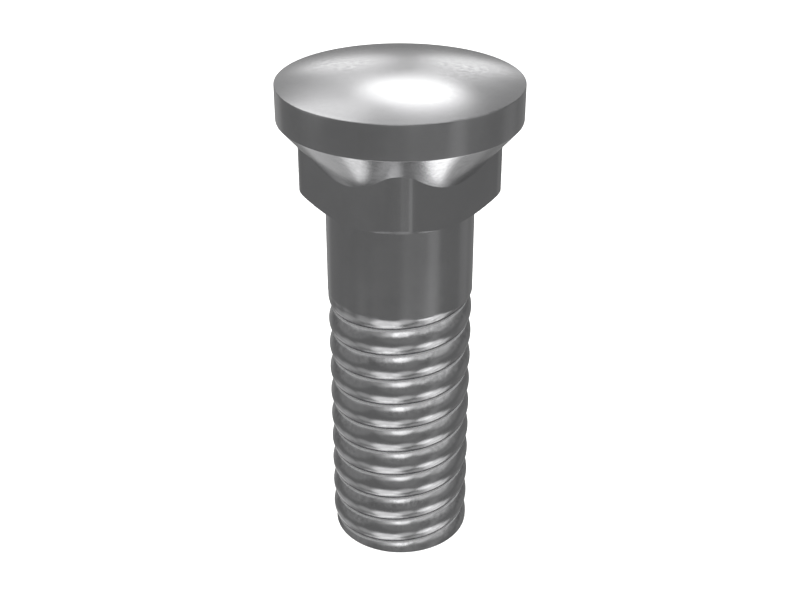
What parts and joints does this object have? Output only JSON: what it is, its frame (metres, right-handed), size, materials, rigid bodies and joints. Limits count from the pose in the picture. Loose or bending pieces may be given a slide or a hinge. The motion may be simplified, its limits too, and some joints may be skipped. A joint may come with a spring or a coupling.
{
  "type": "plow bolt",
  "caption": "Plow bolt with a low domed round head, a countersunk underside, a square neck with rounded corners, a plain shank and a right-hand threaded end.",
  "frame": {"origin": "centre of the flat lower end, on the bolt's axis", "axes": "+Z along the bolt's axis, from the threaded end to the head; a corner of the square neck points at -Y"},
  "size_m": [0.0358, 0.0358, 0.0781],
  "materials": {
    "steel": "satin"
  },
  "bodies": {
    "root": {"plow_bolt": "steel"}
  },
  "joints": []
}
